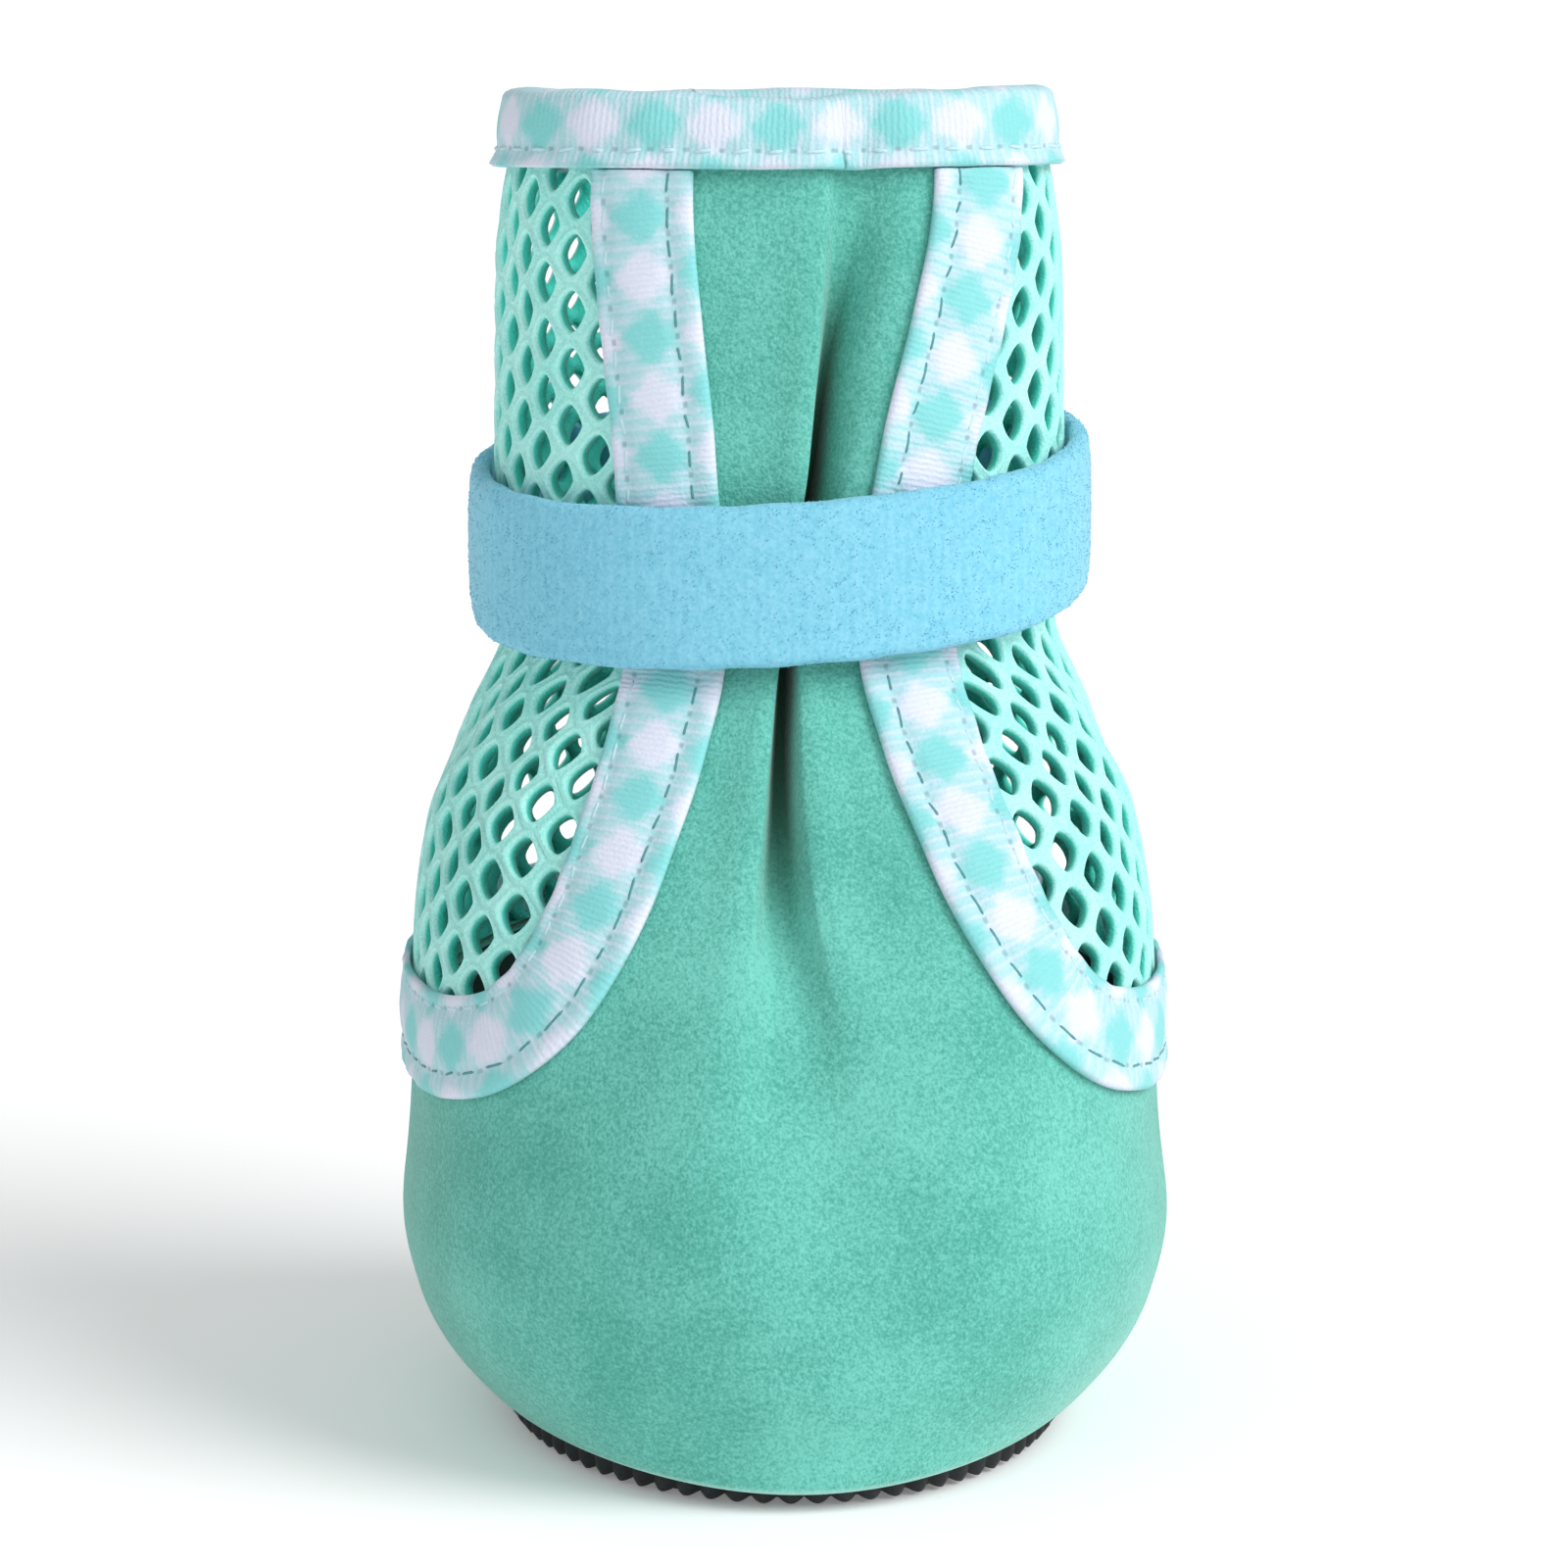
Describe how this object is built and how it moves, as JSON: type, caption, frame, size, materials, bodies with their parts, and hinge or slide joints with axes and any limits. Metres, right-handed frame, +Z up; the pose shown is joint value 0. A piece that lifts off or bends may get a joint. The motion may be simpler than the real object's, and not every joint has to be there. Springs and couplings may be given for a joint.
{
  "type": "dog boot",
  "caption": "Soft dog boot: suede-look foot and pleated front panel, open-hole mesh sides and back, gingham tapes and collar, ankle strap and thin rubber sole.",
  "frame": {"origin": "on the ground under the middle of the sole, on the flat end of the nub there", "axes": "+Z up, -Y towards the toe, +X towards the right of someone who looks at the toe"},
  "size_m": [0.0604, 0.0674, 0.104],
  "materials": {
    "rubber": "matt black rubber with fine nubs",
    "insole": "dark felt",
    "suede": "mint suede-look cloth with a short nap",
    "mesh": "mint knitted mesh with large holes, slight sheen",
    "gingham": "ribbed tape checked in aqua and pale lavender-white",
    "strap": "light blue brushed loop tape"
  },
  "bodies": {
    "root": {"outsole": "rubber", "insole": "insole", "upper": "suede", "mesh_panel": "mesh", "side_tape": "gingham", "collar_binding": "gingham", "strap": "strap"}
  },
  "joints": []
}
